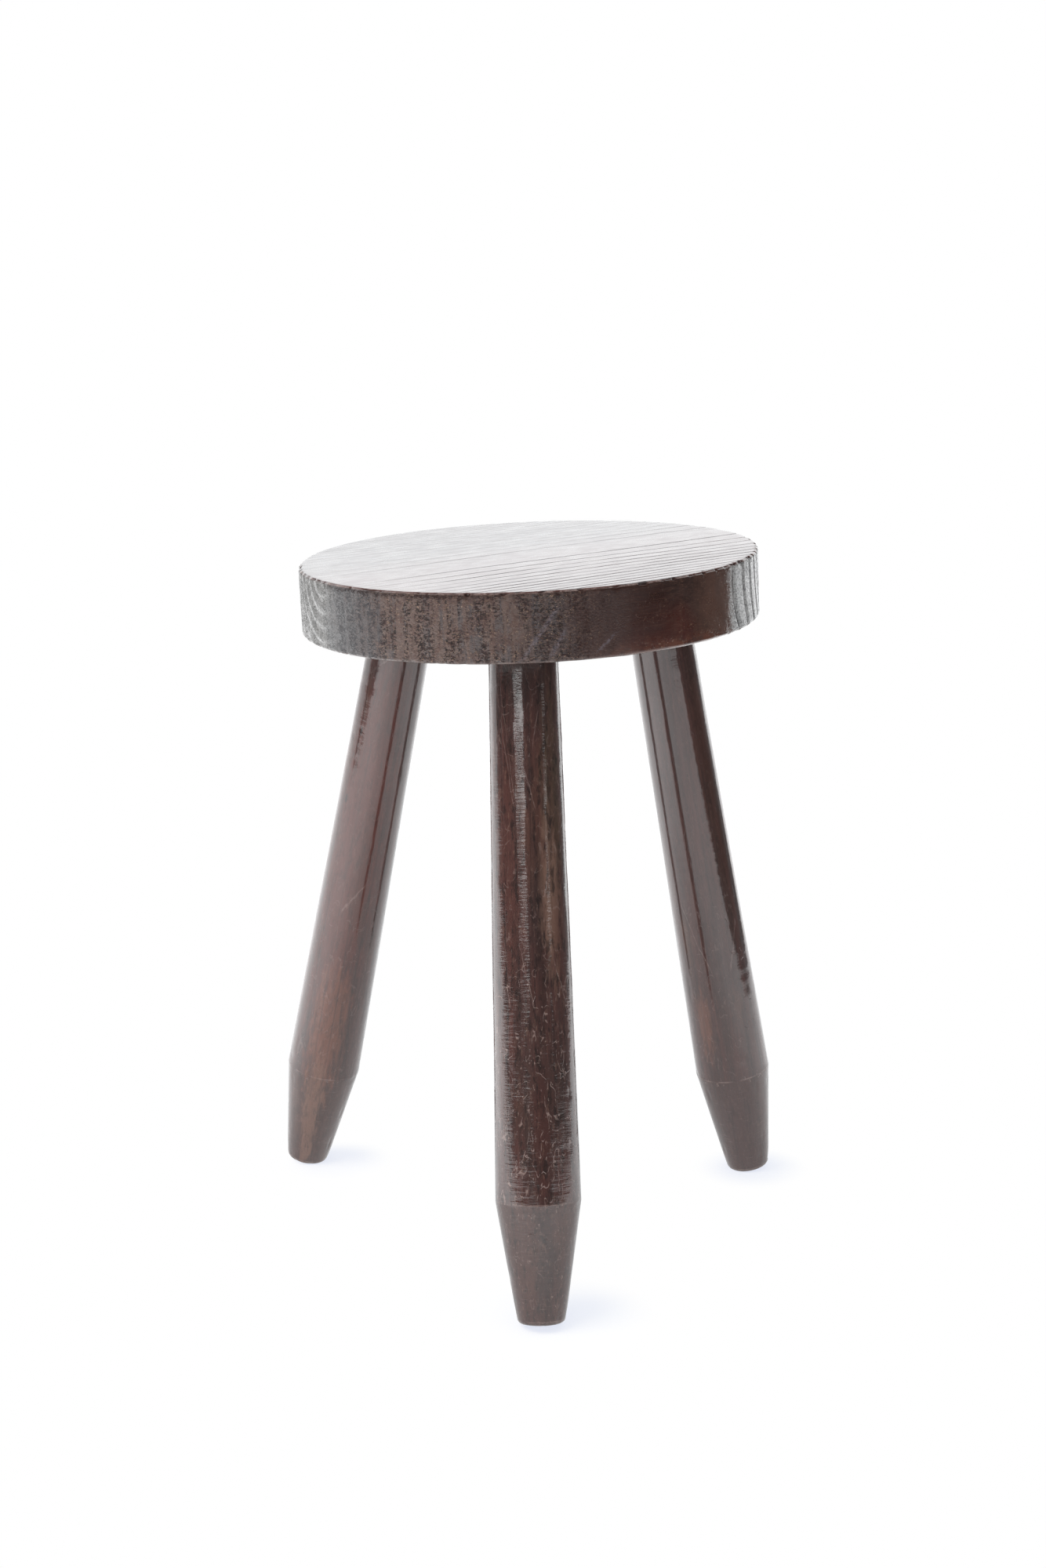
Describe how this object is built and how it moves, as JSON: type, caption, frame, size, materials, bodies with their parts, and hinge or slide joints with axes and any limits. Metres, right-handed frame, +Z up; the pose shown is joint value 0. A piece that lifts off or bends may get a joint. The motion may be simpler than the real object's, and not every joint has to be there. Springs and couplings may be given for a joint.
{
  "type": "tripod stool",
  "caption": "Staked stool with a thick round plank seat on turned, splayed legs that swell to a knee above a tapered foot; stands by itself.",
  "frame": {"origin": "on the floor, below the middle of the stool's box", "axes": "+Z up, -Y towards the front leg, +X towards the right rear leg seen from the front"},
  "size_m": [0.3485, 0.3558, 0.4609],
  "materials": {
    "seat_wood": "stained dark brown and varnished, worn at the edges",
    "leg_wood": "stained dark reddish brown and glossily varnished, dull at the feet",
    "wedge_wood": "bare wood"
  },
  "bodies": {
    "root": {"seat_board": "seat_wood", "leg_front": "leg_wood", "leg_left": "leg_wood", "leg_right": "leg_wood", "wedge_front": "wedge_wood", "wedge_left": "wedge_wood", "wedge_right": "wedge_wood"}
  },
  "joints": []
}
